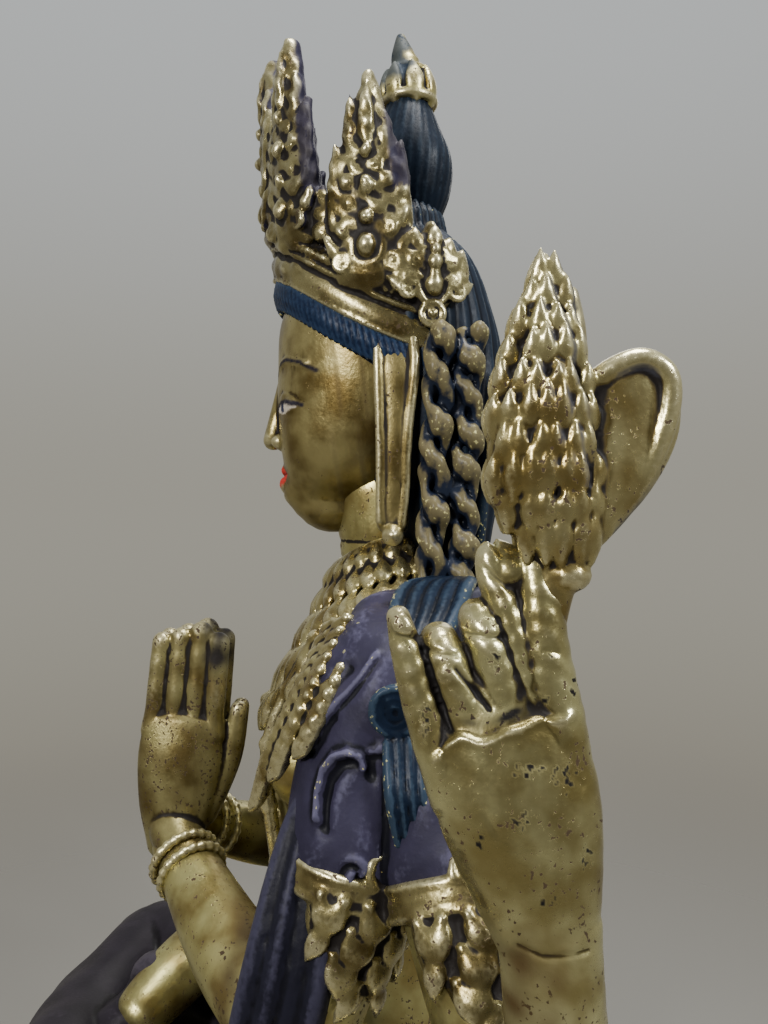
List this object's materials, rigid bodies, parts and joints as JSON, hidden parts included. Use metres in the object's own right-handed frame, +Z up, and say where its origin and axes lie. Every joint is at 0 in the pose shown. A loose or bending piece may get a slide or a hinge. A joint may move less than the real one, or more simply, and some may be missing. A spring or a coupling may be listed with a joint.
{
  "type": "seated four-armed avalokiteshvara statue",
  "caption": "Small cast and painted four-armed bodhisattva seated cross-legged on a low oval lotus seat, with crown, raised lotus and prayer beads.",
  "frame": {"origin": "centre of the lotus seat's flat underside, on the surface that it stands on", "axes": "+Z up, -Y the way the figure faces, +X towards the figure's own left"},
  "size_m": [0.146, 0.11, 0.2199],
  "materials": {
    "figure_gilt": "worn pale gold paint over cast copper alloy, dark patina in the hollows, painted hair and dress",
    "seat_gilt": "worn gold paint over cast copper alloy with dark patina between the petals"
  },
  "bodies": {
    "root": {"figure": "figure_gilt", "lotus_seat": "seat_gilt"}
  },
  "joints": []
}
